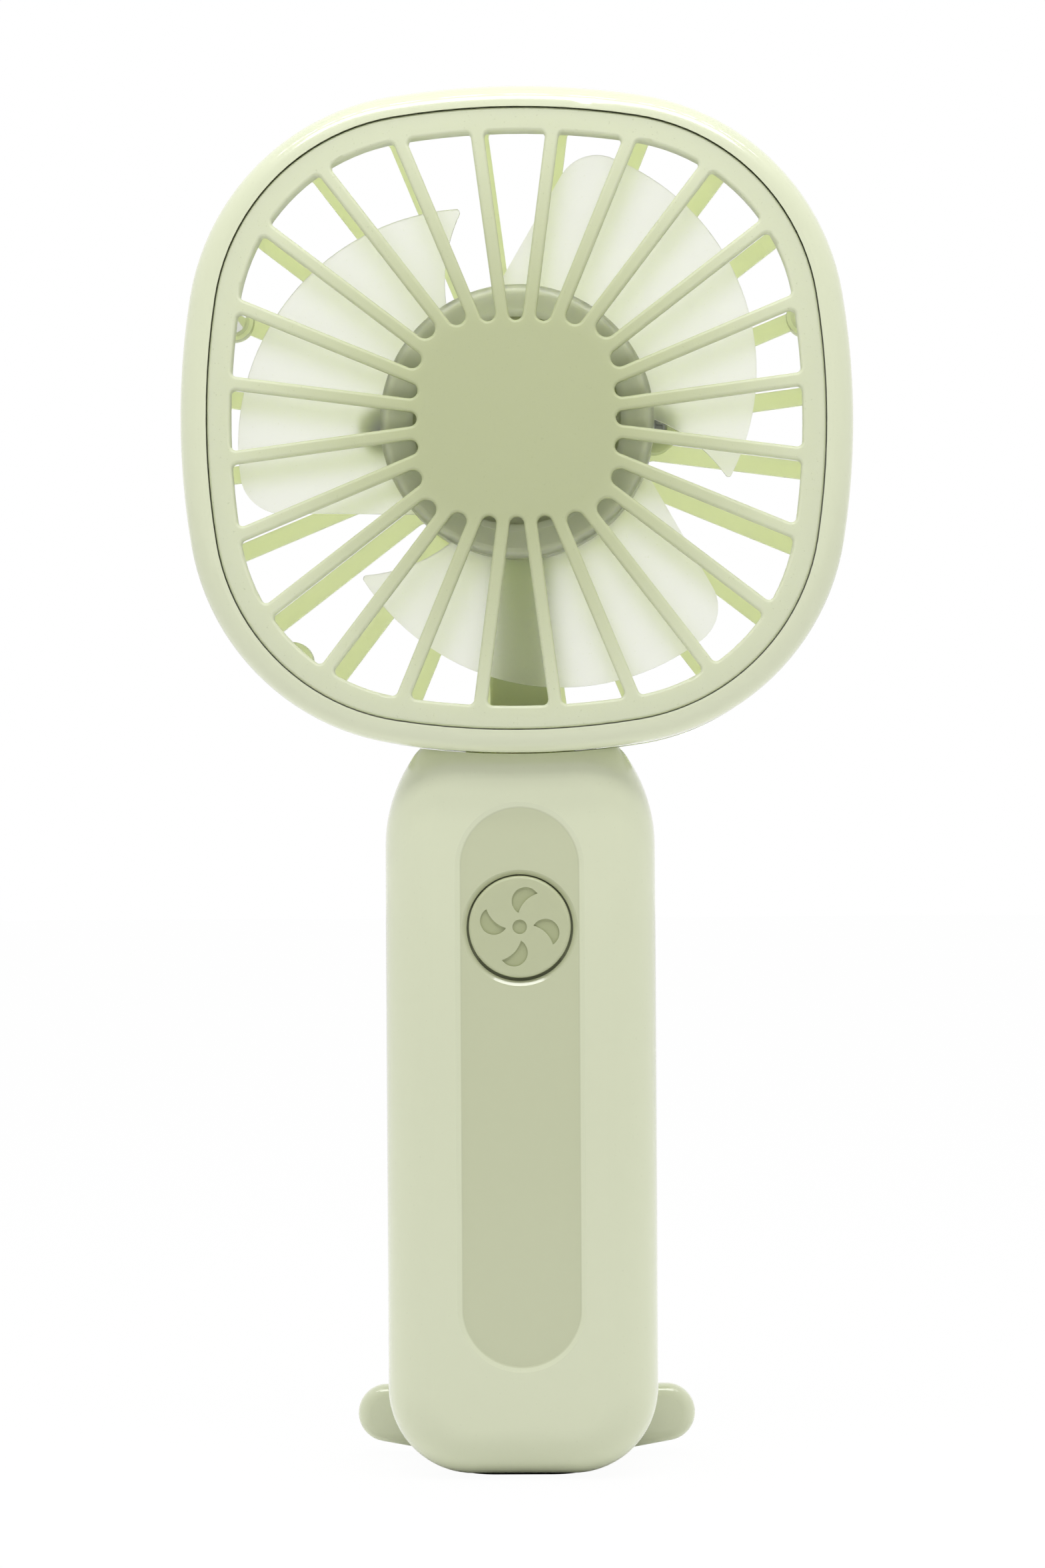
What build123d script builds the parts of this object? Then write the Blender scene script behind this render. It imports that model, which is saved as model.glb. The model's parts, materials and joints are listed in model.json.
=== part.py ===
"""Handheld fan with a rounded square head, a battery handle and a fold-out rear stand.

Units are millimetres. The fan stands upright: +Z is up, the front grille faces -Y,
and the origin is the centre of the flat pad under the handle.
"""
from build123d import *
from math import asin, atan2, cos, degrees, radians, sin, sqrt, tan
import os

# ---------------------------------------------------------------- driving sizes
# Head
head_width = 97.5
head_height = 96.5
head_depth = 38.0
head_corner_r = 35.0
head_bow = 1.0              # how much the long sides bulge past a plain rounded square
head_wall = 2.0
head_front_round = 3.0
head_back_round = 6.0
bezel_depth = 12.0          # front bezel, from the front face to the parting line
bezel_side = 3.9            # bezel width beside the grille
bezel_top = 3.25            # bezel width above and below the grille
bezel_corner = 3.8
ledge_width = 2.0           # shelf behind the grille's rim
ledge_thick = 1.6

# Grilles
spoke_count = 24
spoke_width = 1.9
grille_thick = 2.4
grille_sink = 0.3           # the grille's face lies this far behind the bezel's
rim_width = 3.5
plate_width = 28.8
plate_height = 28.4
plate_corner_r = 5.6
plate_bow = 0.6
rear_length = 7.0           # of the rear grille's shell, along the axis
rear_rim_width = 2.2        # solid rim outside the rear slots
rear_spoke_width = 2.6
rear_disc_margin = 0.8      # how far the rear grille's disc stands out past the motor cover
skirt_depth = 3.2
skirt_thick = 1.2
slot_corner_r = 0.8
slot_edge_round = 0.5

# Handle
handle_width = 39.5
handle_depth = 30.0
handle_wall = 2.2
handle_edge_r = 7.0
bottom_corner_r = 12.5
shoulder_r = 23.0
shoulder_drop = 16.9        # from the handle's top down to where the shoulders start
top_corner_r = 9.0
neck_sink = 3.25            # how far the handle's top reaches up behind the head's edge
neck_gap = 0.15
pad_proud = 0.4
pad_width = 18.0
pad_depth = 15.0
pad_thick = 1.2
pad_corner_r = 5.0
pad_edge_round = 0.3
pillar_low_z = 12.0         # the lower two screw pillars in the handle
pillar_high_x = 12.0        # the upper two

# Front panel and button
panel_width = 18.75
panel_bottom = 15.8
panel_over_button = 18.1    # from the button's centre up to the panel's top
panel_sink = 0.4
panel_bevel = 0.9
button_over_board = 7.7     # from the board's lower edge up to the button's centre
button_r = 7.4
button_gap = 0.35
button_lift = 0.15          # the button sits this far above the middle of its hole
button_proud = 0.45
button_round = 0.5
button_travel = 0.5
button_flange = 1.4         # flange width behind the handle's wall
button_flange_thick = 0.9
button_bevel = 0.7
engraving_depth = 0.3
button_dot_r = 1.05
# One petal of the button's pictogram, from the button's centre, at the top
petal_root = (-0.16, 2.0)
petal_belly = (-0.81, 4.85)
petal_tip = (2.6, 4.8)
petal_waist = (0.72, 3.6)

# Impeller. Angles run anticlockwise from a blade's horn, as seen from the front.
blade_count = 3
blade_thick = 1.2
blade_rise = 10.0           # along the axis, from a blade's horn to its round end
first_horn_angle = 104.2
horn_r = 32.0
blade_middle_r, blade_middle_angle = 39.2, 55.0
blade_corner_r, blade_corner_angle = 41.8, 93.4
blade_trail_angle = 18.0    # where the horn's inner edge meets the hub
blade_lead_angle = 119.0    # where the round end's edge meets the hub
blade_hollow = (26.2, 8.6)  # radius and angle of a point on the hollow rear edge
blade_round = 6.0
horn_round = 0.5
hub_r = 20.0
hub_wall = 1.3
hub_boss_r = 3.2
hub_edge_round = 1.5
hub_to_screw = 0.8          # axial clearance between the hub and the motor cover's screws
hub_length = 13.1
hub_ring_r = 15.6
hub_ring_height = 0.5
hub_ring_width = 1.0
hub_rib_count = 6
hub_rib_thick = 1.0
hub_rib_depth = 4.5
blade_to_hub_face = 2.0     # from the hub's face back to the blades' horns

# Motor
motor_r = 12.2
motor_length = 12.3
motor_can_wall = 0.8
motor_pad_thick = 1.0
magnet_thick = 1.4
magnet_span = 140.0
air_gap = 0.35
shaft_r = 1.0
bush_r = 2.0
bush_clearance = 0.03
motor_boss_r = 3.0
motor_boss_length = 1.2
core_length = 6.0
end_cap_thick = 1.6
commutator_r = 2.4
commutator_length = 1.5
cup_wall = 2.0
cover_r = 18.5
cover_thick = 1.8
cover_screw_reach = 20.1    # screw centres from the fan's axis
cover_ear_r = 3.8
cover_ear_step = 0.6        # the bosses under the ears are this much smaller in radius
cover_edge_round = 0.4
web_thick = 2.4             # of the webs from the cup to the cover's two bosses
stake_r = 0.8
vent_count = 6
vent_r = 1.6
vent_ring_r = 8.2
terminal_offset = 2.4
terminal_width = 1.8
terminal_thick = 0.4

# Wire duct behind the impeller
duct_width = 9.5
duct_wall = 1.0
duct_depth = 4.8
duct_cover_thick = 1.2
duct_cover_lift = 5.0       # from the head's floor up to the cover's lower end
duct_cover_round = 0.5
duct_rib_thick = 0.7
duct_rib_height = 0.9
lead_r = 0.6

# Neck stub of the rear housing, clamped between the handle's shells
stub_width = 16.0
stub_depth = 15.0
stub_y = 2.0
stub_wall = 1.8
stub_length = 10.5
stub_corner_r = 2.0

# Screws
thread_r = 1.0
pilot_clearance = 0.02
shank_clearance = 0.2
screw_head_r = 1.9
screw_head_height = 1.4
screw_head_gap = 0.25       # round a screw's head in its counterbore
cross_width = 0.55
cross_depth = 0.7
boss_r = 2.5
boss_skirt = 0.6            # the bosses of the rear shells are this much larger in radius
boss_sink = 0.5             # how far a head boss runs into the wall beside it
upper_boss_angle = 22.0
lower_boss_angle = -44.7
head_screw_length = 7.0
cover_screw_length = 7.0
handle_screw_length = 9.0
neck_screw_length = 6.0
board_screw_length = 6.0

# Battery cell
cell_r = 9.2
cell_length = 65.0
cell_y = -2.0
cell_clearance = 0.3
cell_cap_r = 4.2
cell_cap_height = 0.8
tab_thick = 0.2
tab_width = 5.0
tab_height = 15.0           # of the lower tab, up the cell's side
foam_thick = 1.3
cradle_thick = 1.6          # of the ribs that cradle the cell
cradle_width = 22.0

# Circuit board
board_width = 30.0
board_height = 20.0
board_thick = 1.6
board_y = -6.0              # front face of the board
board_over_cell = 2.8
board_to_neck = 2.45
board_corner_r = 1.0
board_post_x = 12.0
board_post_inset = 3.2      # from the board's upper and lower edges
switch_size = 6.0
switch_height = 3.5
plunger_r = 1.75
plunger_proud = 1.3
usb_width = 8.94
usb_height = 3.26
usb_length = 7.35
usb_skin = 0.3
usb_over_board = 10.2       # from the board's lower edge up to the socket's middle

# Rear stand
stand_width = 16.0
stand_thick = 2.6
stand_pivot_z = 62.0
stand_barrel_r = 2.3
stand_heel = 4.0            # above the pivot; it stops the stand when it is open
stand_clearance = 0.35
stand_max_angle = 50.0
stand_sink = 0.2
foot_width = 51.0
foot_height = 8.7
foot_bottom = 1.7           # underside of the round lobes
foot_centre_bottom = 0.1    # underside of the middle
foot_thick = 4.2
foot_gap = 0.3
foot_round = 1.8
foot_flat_round = 4.0       # where the foot's middle meets its lobes
barrel_wrap = 1.6           # thickness of the heel above the pivot
pin_r = 1.0
pin_clearance = 0.05
cheek_width = 3.6
cheek_half_height = 3.5
recess_wall = 1.6           # of the walls round the stand's recess

# General clearances
fit = 0.1                   # sliding fit between mating shells
part_gap = 0.15             # visible gap round the grille
lip_thick = 1.0
lip_height = 1.2
pillar_gap = 0.3            # round a screw pillar, where another shell passes it

# ---------------------------------------------------------------- worked-out places
cell_bottom_z = pad_proud + handle_wall + foam_thick + tab_thick + fit
cell_top_z = cell_bottom_z + cell_length
cap_top_z = cell_top_z + cell_cap_height
board_bottom = cap_top_z + board_over_cell
stub_bottom_z = board_bottom + board_height + board_to_neck
head_bottom_z = stub_bottom_z + stub_length
handle_height = head_bottom_z + neck_sink
button_z = board_bottom + button_over_board
usb_z = board_bottom + usb_over_board
panel_length = button_z + panel_over_button - panel_bottom
face_y = -head_depth / 2
back_y = head_depth / 2
part_y = face_y + bezel_depth
head_z = head_bottom_z + head_height / 2
grille_front_y = face_y + grille_sink
grille_back_y = grille_front_y + grille_thick
handle_front_y = -handle_depth / 2
handle_back_y = handle_depth / 2
inner_back_y = back_y - head_wall
rear_part_y = back_y - rear_length
motor_back_y = inner_back_y - motor_pad_thick
motor_front_y = motor_back_y - motor_length
cover_front_y = motor_front_y - cover_thick
rear_disc_r = cover_r + rear_disc_margin
hub_back_y = cover_front_y - screw_head_height - hub_to_screw
hub_front_y = hub_back_y - hub_length
duct_cover_back_y = inner_back_y - duct_depth
shoulder_z = handle_height - shoulder_drop
slot_step = 360.0 / spoke_count

os.makedirs("parts", exist_ok=True)


# ---------------------------------------------------------------- helpers
def at(x, z, y=0.0):
    """A point of the front view."""
    return (x, y, z)


def on_circle(x, z, r, angle):
    """A front-view point on a circle, at an angle in degrees from +X towards +Z."""
    return at(x + r * cos(radians(angle)), z + r * sin(radians(angle)))


def arc(x, z, r, start, end):
    """A front-view arc about (x, z) between two angles in degrees."""
    return ThreePointArc(
        on_circle(x, z, r, start),
        on_circle(x, z, r, (start + end) / 2),
        on_circle(x, z, r, end),
    )


def slab(face, y_front, y_back):
    """A front-view face made solid between two depths."""
    return extrude(Pos(0, y_front, 0) * face, amount=y_back - y_front, dir=(0, 1, 0))


def rod(x, z, r, y_front, y_back):
    """A round bar along Y."""
    length = y_back - y_front
    return Pos(x, (y_front + y_back) / 2, z) * Rot(90, 0, 0) * Cylinder(r, length)


def tube(x, z, r_out, r_in, y_front, y_back):
    """A round tube along Y."""
    return rod(x, z, r_out, y_front, y_back) - rod(x, z, r_in, y_front, y_back)


def block(x, y, z):
    """A box between two values on each axis."""
    (x0, x1), (y0, y1), (z0, z1) = x, y, z
    centre = Pos((x0 + x1) / 2, (y0 + y1) / 2, (z0 + z1) / 2)
    return centre * Box(x1 - x0, y1 - y0, z1 - z0)


def bowed_square(half_w, half_h, corner_r, bow):
    """Rounded square about the head's centre, whose four sides bulge by arcs."""
    cx = half_w - corner_r - bow
    cz = half_h - corner_r - bow
    spread = (corner_r + bow) ** 2 - corner_r ** 2
    side_r = (cz ** 2 + spread) / (2 * bow)
    top_r = (cx ** 2 + spread) / (2 * bow)
    side_turn = degrees(asin(cz / (side_r - corner_r)))
    top_turn = degrees(asin(cx / (top_r - corner_r)))
    edges = []
    for side in (1, -1):
        flip = 0 if side == 1 else 180
        edges += [
            arc(side * (half_w - side_r), head_z, side_r, flip - side_turn, flip + side_turn),
            arc(side * cx, head_z + side * cz, corner_r, flip + side_turn, flip + 90 - top_turn),
            arc(0, head_z + side * (half_h - top_r), top_r,
                flip + 90 - top_turn, flip + 90 + top_turn),
            arc(-side * cx, head_z + side * cz, corner_r,
                flip + 90 + top_turn, flip + 180 - side_turn),
        ]
    return make_face(edges)


def reach(half_w, half_h, corner_r, bow, angle):
    """Distance from the head's centre to a bowed square's edge at an angle."""
    c, s = abs(cos(radians(angle))), abs(sin(radians(angle)))
    cx = half_w - corner_r - bow
    cz = half_h - corner_r - bow
    spread = (corner_r + bow) ** 2 - corner_r ** 2
    side_r = (cz ** 2 + spread) / (2 * bow)
    top_r = (cx ** 2 + spread) / (2 * bow)
    circles = (
        (half_w - side_r, 0.0, side_r),
        (0.0, half_h - top_r, top_r),
        (cx, cz, corner_r),
    )
    turn = degrees(atan2(s, c))
    side_end = degrees(atan2(
        side_r * cz / (side_r - corner_r),
        half_w - side_r + side_r * sqrt(1 - (cz / (side_r - corner_r)) ** 2),
    ))
    top_end = degrees(atan2(
        half_h - top_r + top_r * sqrt(1 - (cx / (top_r - corner_r)) ** 2),
        top_r * cx / (top_r - corner_r),
    ))
    x, z, r = circles[0] if turn < side_end else circles[1] if turn > top_end else circles[2]
    along = x * c + z * s
    return along + sqrt(along ** 2 - x ** 2 - z ** 2 + r ** 2)


def head_outline(inset=0.0):
    """The head's outline in the front view, set in by a distance."""
    return bowed_square(
        head_width / 2 - inset, head_height / 2 - inset, head_corner_r - inset, head_bow)


def rim_sizes(inset=0.0):
    """Half width, half height, corner radius and bow of the grille's rim."""
    return (
        head_width / 2 - bezel_side - inset,
        head_height / 2 - bezel_top - inset,
        head_corner_r - bezel_corner - inset,
        head_bow,
    )


def handle_outline(inset=0.0):
    """The handle's outline in the front view, set in by a distance."""
    half = handle_width / 2
    shoulder_x = half - shoulder_r
    corner_z = handle_height - top_corner_r
    rise = corner_z - shoulder_z
    corner_x = shoulder_x + sqrt((shoulder_r - top_corner_r) ** 2 - rise ** 2)
    turn = degrees(asin(rise / (shoulder_r - top_corner_r)))
    foot_x = half - bottom_corner_r
    foot_z = pad_proud + bottom_corner_r
    low, high = pad_proud + inset, handle_height - inset
    edges = [
        Line(at(-foot_x, low), at(foot_x, low)),
        arc(foot_x, foot_z, bottom_corner_r - inset, -90, 0),
        Line(at(half - inset, foot_z), at(half - inset, shoulder_z)),
        arc(shoulder_x, shoulder_z, shoulder_r - inset, 0, turn),
        arc(corner_x, corner_z, top_corner_r - inset, turn, 90),
        Line(at(corner_x, high), at(-corner_x, high)),
        arc(-corner_x, corner_z, top_corner_r - inset, 90, 180 - turn),
        arc(-shoulder_x, shoulder_z, shoulder_r - inset, 180 - turn, 180),
        Line(at(inset - half, shoulder_z), at(inset - half, foot_z)),
        arc(-foot_x, foot_z, bottom_corner_r - inset, 180, 270),
    ]
    return make_face(edges)


def round_rims(solid, radius, front=True, back=True):
    """Round the front and back rims of a slab."""
    groups = solid.edges().group_by(Axis.Y)
    edges = (list(groups[0]) if front else []) + (list(groups[-1]) if back else [])
    return fillet(edges, radius)


def slot_face(angle, outer, inner_tip, spoke):
    """One opening between two spokes: round at the inner end, square-cornered outside."""
    half_step = radians(slot_step / 2)
    start_r = (inner_tip - spoke / 2) / (1 - sin(half_step))
    end_r = start_r * sin(half_step) - spoke / 2
    touch_u = start_r - end_r * sin(half_step)
    touch_v = end_r * cos(half_step)
    offset = spoke / 2

    def place(u, v):
        turn = radians(angle)
        return at(u * cos(turn) - v * sin(turn), head_z + u * sin(turn) + v * cos(turn))

    def rim_point(share):
        """A point on the rim, as a share of the half slot to either side."""
        middle = reach(*outer, angle)
        spread = share * (half_step - asin(offset / middle))
        for _ in range(4):
            distance = reach(*outer, angle + degrees(spread))
            spread = share * (half_step - asin(offset / distance))
        return on_circle(0, head_z, distance, angle + degrees(spread))

    low, high = rim_point(-1), rim_point(1)
    edges = [
        ThreePointArc(place(touch_u, touch_v), place(inner_tip, 0), place(touch_u, -touch_v)),
        Line(place(touch_u, -touch_v), low),
        ThreePointArc(low, rim_point(0), high),
        Line(high, place(touch_u, touch_v)),
    ]
    face = make_face(edges)
    centre = Vector(*at(0, head_z))
    corners = sorted(face.vertices(), key=lambda v: (Vector(v.X, v.Y, v.Z) - centre).length)
    return fillet(corners[-2:], slot_corner_r)


def screw(x, z, y_seat, length, heading):
    """A pan-head cross screw along Y. heading is +1 if its tip points to +Y."""
    y_top = y_seat - heading * screw_head_height
    y_tip = y_seat + heading * length
    head = rod(x, z, screw_head_r, min(y_top, y_seat), max(y_top, y_seat))
    top_rim = head.edges().sort_by(Axis.Y)[0 if heading > 0 else -1]
    head = fillet(top_rim, screw_head_height * 0.4)
    shank = rod(x, z, thread_r, min(y_seat, y_tip), max(y_seat, y_tip))
    y_floor = y_top + heading * cross_depth
    y_range = (min(y_top, y_floor), max(y_top, y_floor))
    arm = screw_head_r * 0.62
    wide = block((x - arm, x + arm), y_range, (z - cross_width / 2, z + cross_width / 2))
    tall = block((x - cross_width / 2, x + cross_width / 2), y_range, (z - arm, z + arm))
    return head + shank - wide - tall


def wire(name, points, r):
    """A round wire along straight runs joined by arcs as large as the runs allow."""
    corners = [Vector(*point) for point in points]
    radii = []
    for before, corner, after in zip(corners, corners[1:], corners[2:]):
        first, second = corner - before, after - corner
        half_turn = radians(first.get_angle(second) / 2)
        radii.append(0.45 * min(first.length, second.length) / tan(half_turn))
    print(name, "radii", [round(radius, 1) for radius in radii])
    path = FilletPolyline(*points, radius=radii)
    plane = Plane(origin=path @ 0, z_dir=path % 0)
    return sweep(plane * Circle(r), path=path)


def save(name, *shapes):
    """Write one node from one solid or several separate ones."""
    shape = shapes[0] if len(shapes) == 1 else Compound(children=list(shapes))
    export_step(shape, f"parts/{name}.step")


# ---------------------------------------------------------------- head
angles = [index * slot_step for index in range(spoke_count)]
opening = rim_sizes(rim_width)
plate = (plate_width / 2, plate_height / 2, plate_corner_r, plate_bow)
inside_head = (head_width / 2 - head_wall, head_height / 2 - head_wall,
               head_corner_r - head_wall, head_bow)
head_bosses = []
for boss_angle in (upper_boss_angle, 180 - upper_boss_angle,
                   180 - lower_boss_angle, lower_boss_angle):
    boss_reach = reach(*inside_head, boss_angle) - boss_r + boss_sink
    boss_x, _, boss_z = on_circle(0, head_z, boss_reach, boss_angle)
    head_bosses.append((boss_x, boss_z))
pillar_end_y = inner_back_y - 3.0
head_screw_seat_y = back_y - 2.6
neck_screw_x, neck_screw_z = 5.0, head_bottom_z - 4.75


def make_front_grille():
    rim = slab(bowed_square(*rim_sizes(part_gap)), grille_front_y, grille_back_y)
    body = round_rims(rim, 0.4, back=False)
    tips = [(angle, reach(*plate, angle)) for angle in angles]
    for angle, tip in tips:
        slot = slot_face(angle, opening, tip, spoke_width)
        body -= slab(slot, grille_front_y - 1, grille_back_y + 1)
    front_edges = body.edges().filter_by(
        lambda e: abs(e.center().Y - grille_front_y) < 0.001
        and (e.center() - Vector(0, grille_front_y, head_z)).length < opening[0] + 8)
    body = fillet(front_edges, slot_edge_round)
    skirt = slab(bowed_square(*rim_sizes(ledge_width + fit)), grille_back_y,
                 grille_back_y + skirt_depth)
    skirt -= slab(bowed_square(*rim_sizes(ledge_width + fit + skirt_thick)),
                  grille_back_y - 1, grille_back_y + skirt_depth + 1)
    for x, z in head_bosses:
        skirt -= rod(x, z, boss_r + pillar_gap, grille_back_y + 0.5, back_y)
    return body + skirt


def make_front_bezel():
    body = round_rims(slab(head_outline(), face_y, part_y), head_front_round, back=False)
    body -= slab(bowed_square(*rim_sizes()), face_y - 1, grille_back_y)
    body -= slab(bowed_square(*rim_sizes(ledge_width)), face_y, part_y + 1)
    cavity_y = grille_back_y + ledge_thick
    body -= slab(head_outline(head_wall), cavity_y, part_y + 1)
    lip = slab(head_outline(head_wall - lip_thick), part_y - 1, part_y + lip_height)
    lip -= slab(head_outline(head_wall), part_y - 2, part_y + lip_height + 1)
    body += lip
    pillar_space = slab(head_outline(head_wall - lip_thick), cavity_y - 1, part_y + lip_height)
    pillar_space += slab(head_outline(head_wall + pillar_gap), part_y, back_y)
    for x, z in head_bosses:
        body += rod(x, z, boss_r, cavity_y - 0.5, pillar_end_y) & pillar_space
        body -= rod(x, z, thread_r + pilot_clearance,
                    head_screw_seat_y - head_screw_length - 1, pillar_end_y + 1)
    return body


def motor_screw_places():
    """Where the two motor cover screws stand, left and right of the axis."""
    return [(-cover_screw_reach, head_z), (cover_screw_reach, head_z)]


def stake_places():
    """Where four posts of the motor mount are staked through the rear grille's disc."""
    centre_r = motor_r + fit + cup_wall / 2
    places = [on_circle(0, head_z, centre_r, angle) for angle in (45, 135, 225, 315)]
    return [(x, z) for x, _, z in places]


def make_rear_housing():
    """The middle shell: a plain band with the neck stub under it."""
    body = slab(head_outline(), part_y, rear_part_y)
    body -= slab(head_outline(head_wall), part_y - 1, rear_part_y + 1)
    rabbet = head_outline(head_wall - lip_thick - fit)
    body -= slab(rabbet, part_y - 1, part_y + lip_height + fit)
    body -= slab(rabbet, rear_part_y - lip_height - fit, rear_part_y + 1)
    half_stub = stub_width / 2
    stub = block((-half_stub, half_stub), (stub_y - stub_depth / 2, stub_y + stub_depth / 2),
                 (stub_bottom_z, head_bottom_z + head_wall / 2))
    body += fillet(stub.edges().filter_by(Axis.Z), stub_corner_r)
    half_bore, bore_depth = half_stub - stub_wall, stub_depth / 2 - stub_wall
    body -= block((-half_bore, half_bore), (stub_y - bore_depth, stub_y + bore_depth),
                  (stub_bottom_z - 1, head_bottom_z + head_wall + 2))
    for side in (-1, 1):
        body -= rod(side * neck_screw_x, neck_screw_z, thread_r + pilot_clearance, stub_y, back_y)
    return body


def make_rear_grille():
    """The rear shell: a shallow dish whose slots run out over its rounded edge."""
    outer = round_rims(slab(head_outline(), rear_part_y, back_y), head_back_round, front=False)
    cavity = slab(head_outline(head_wall), rear_part_y - 1, inner_back_y)
    body = outer - round_rims(cavity, head_back_round - head_wall, front=False)
    lip = slab(head_outline(head_wall - lip_thick), rear_part_y - lip_height, rear_part_y + 1)
    body += lip - slab(head_outline(head_wall), rear_part_y - lip_height - 1, rear_part_y + 2)
    rear_opening = (head_width / 2 - rear_rim_width, head_height / 2 - rear_rim_width,
                    head_corner_r - rear_rim_width, head_bow)
    for angle in angles:
        if angle != 270:
            slot = slot_face(angle, rear_opening, rear_disc_r, rear_spoke_width)
            body -= slab(slot, rear_part_y + 1, back_y + 1)
    for x, z in head_bosses:
        body += rod(x, z, boss_r + boss_skirt, pillar_end_y + fit, inner_back_y + 1) & outer
        body -= rod(x, z, thread_r + shank_clearance, pillar_end_y - 1, back_y)
        body -= rod(x, z, screw_head_r + screw_head_gap, head_screw_seat_y, back_y + 1)
    for x, z in stake_places():
        body -= rod(x, z, stake_r + fit / 2, inner_back_y - 1, back_y + 1)
    return body


def make_motor_mount():
    """The cup that holds the motor, its two cover bosses and the wire duct."""
    cup_r = motor_r + fit + cup_wall
    body = rod(0, head_z, cup_r, motor_front_y, inner_back_y)
    for x, z in motor_screw_places():
        body += rod(x, z, cover_ear_r - cover_ear_step, motor_front_y, inner_back_y)
        body += block((min(0, x), max(0, x)), (motor_front_y + 1, inner_back_y),
                      (z - web_thick / 2, z + web_thick / 2))
    duct_top, duct_bottom = head_z - cup_r + 1, head_bottom_z + head_wall + fit
    half_duct, half_channel = duct_width / 2, duct_width / 2 - duct_wall
    body += block((-half_duct, half_duct), (duct_cover_back_y, inner_back_y),
                  (duct_bottom, duct_top))
    body -= block((-half_channel, half_channel), (duct_cover_back_y - 2, inner_back_y - duct_wall),
                  (duct_bottom - 1, head_z - motor_r + 1))
    body -= rod(0, head_z, motor_r + fit, motor_front_y - 1, inner_back_y + 1)
    for x, z in motor_screw_places():
        body -= rod(x, z, thread_r + pilot_clearance, motor_front_y - 1,
                    cover_front_y + cover_screw_length + 1)
    inside = slab(head_outline(head_wall + fit), face_y, inner_back_y)
    body &= round_rims(inside, head_back_round - head_wall, front=False)
    for x, z in stake_places():
        body += rod(x, z, stake_r, inner_back_y - 1, back_y)
    return body


def make_motor_cover():
    def disc(x, z, r):
        plain = rod(x, z, r, cover_front_y, motor_front_y)
        return fillet(plain.edges().group_by(Axis.Y)[0], cover_edge_round)

    body = disc(0, head_z, cover_r)
    for x, z in motor_screw_places():
        body += disc(x, z, cover_ear_r)
    body -= rod(0, head_z, motor_boss_r + 0.3, cover_front_y - 1, motor_front_y + 1)
    for x, z in motor_screw_places():
        body -= rod(x, z, thread_r + shank_clearance, cover_front_y - 1, motor_front_y + 1)
    for index in range(vent_count):
        angle = (index + 0.5) * 360 / vent_count
        hole_x, _, hole_z = on_circle(0, head_z, vent_ring_r, angle)
        body -= rod(hole_x, hole_z, vent_r, cover_front_y - 1, motor_front_y + 1)
    return body


def make_wire_cover():
    half_duct = duct_width / 2
    top = head_z - motor_r - fit - cup_wall - fit
    bottom = head_bottom_z + head_wall + duct_cover_lift
    front = duct_cover_back_y - duct_cover_thick
    body = block((-half_duct, half_duct), (front, duct_cover_back_y), (bottom, top))
    body = fillet(body.edges().filter_by(Axis.Z).group_by(Axis.Y)[0], duct_cover_round)
    for side in (-1, 1):
        edge = side * (half_duct - duct_wall - fit)
        inner = edge - side * duct_rib_thick
        body += block((min(edge, inner), max(edge, inner)),
                      (duct_cover_back_y, duct_cover_back_y + duct_rib_height),
                      (bottom + 2, top - 2))
    return body


# ---------------------------------------------------------------- motor
core_front_y = motor_front_y + motor_can_wall + 1.8
core_back_y = core_front_y + core_length
can_inner_r = motor_r - motor_can_wall
core_r = can_inner_r - magnet_thick - air_gap
end_cap_front_y = motor_back_y - end_cap_thick
terminal_y = (motor_back_y - 0.35 - terminal_thick, motor_back_y - 0.35)


def ring_sector(r_in, r_out, middle, span, y_front, y_back):
    """Part of a ring about the fan's axis."""
    low, high = middle - span / 2, middle + span / 2
    edges = [
        arc(0, head_z, r_out, low, high),
        Line(on_circle(0, head_z, r_out, high), on_circle(0, head_z, r_in, high)),
        arc(0, head_z, r_in, high, low),
        Line(on_circle(0, head_z, r_in, low), on_circle(0, head_z, r_out, low)),
    ]
    return slab(make_face(edges), y_front, y_back)


def turned(shape, angle):
    """A shape turned about the fan's axis, anticlockwise from the front."""
    return Pos(0, 0, head_z) * Rot(0, -angle, 0) * Pos(0, 0, -head_z) * shape


def terminals():
    return [
        block((x - terminal_width / 2, x + terminal_width / 2), terminal_y,
              (head_z - motor_r - 1.4, head_z - 8))
        for x in (-terminal_offset, terminal_offset)
    ]


def make_motor_can():
    body = rod(0, head_z, motor_r, motor_front_y, motor_back_y)
    body = fillet(body.edges().group_by(Axis.Y)[0], 0.5)
    body += rod(0, head_z, motor_boss_r, motor_front_y - motor_boss_length, motor_front_y)
    body -= rod(0, head_z, can_inner_r, motor_front_y + motor_can_wall, motor_back_y + 1)
    body -= rod(0, head_z, bush_r, motor_front_y - 3, motor_front_y + 2)
    half_notch = terminal_offset + 1.3
    body -= block((-half_notch, half_notch), (end_cap_front_y, motor_back_y + 1),
                  (head_z - motor_r - 1, head_z - motor_r + 2.5))
    return body


def make_end_cap():
    body = rod(0, head_z, can_inner_r, end_cap_front_y, motor_back_y)
    body -= rod(0, head_z, bush_r, end_cap_front_y - 1, motor_back_y + 1)
    for terminal in terminals():
        body -= terminal
    return body


def make_bushes():
    inner = shaft_r + bush_clearance
    front = tube(0, head_z, bush_r, inner, motor_front_y - motor_boss_length,
                 motor_front_y + motor_can_wall + 0.4)
    back = tube(0, head_z, bush_r, inner, end_cap_front_y, motor_back_y - 0.2)
    return [front, back]


def make_magnets():
    return [
        ring_sector(can_inner_r - magnet_thick, can_inner_r - pilot_clearance, middle,
                    magnet_span, core_front_y - 0.8, core_back_y + 0.8)
        for middle in (0, 180)
    ]


pole_angles = (90, 210, 330)
pole_half_width = 1.6
shoe_thick = 1.6
coil_range = (3.6, core_r - shoe_thick - 0.2)


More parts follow.
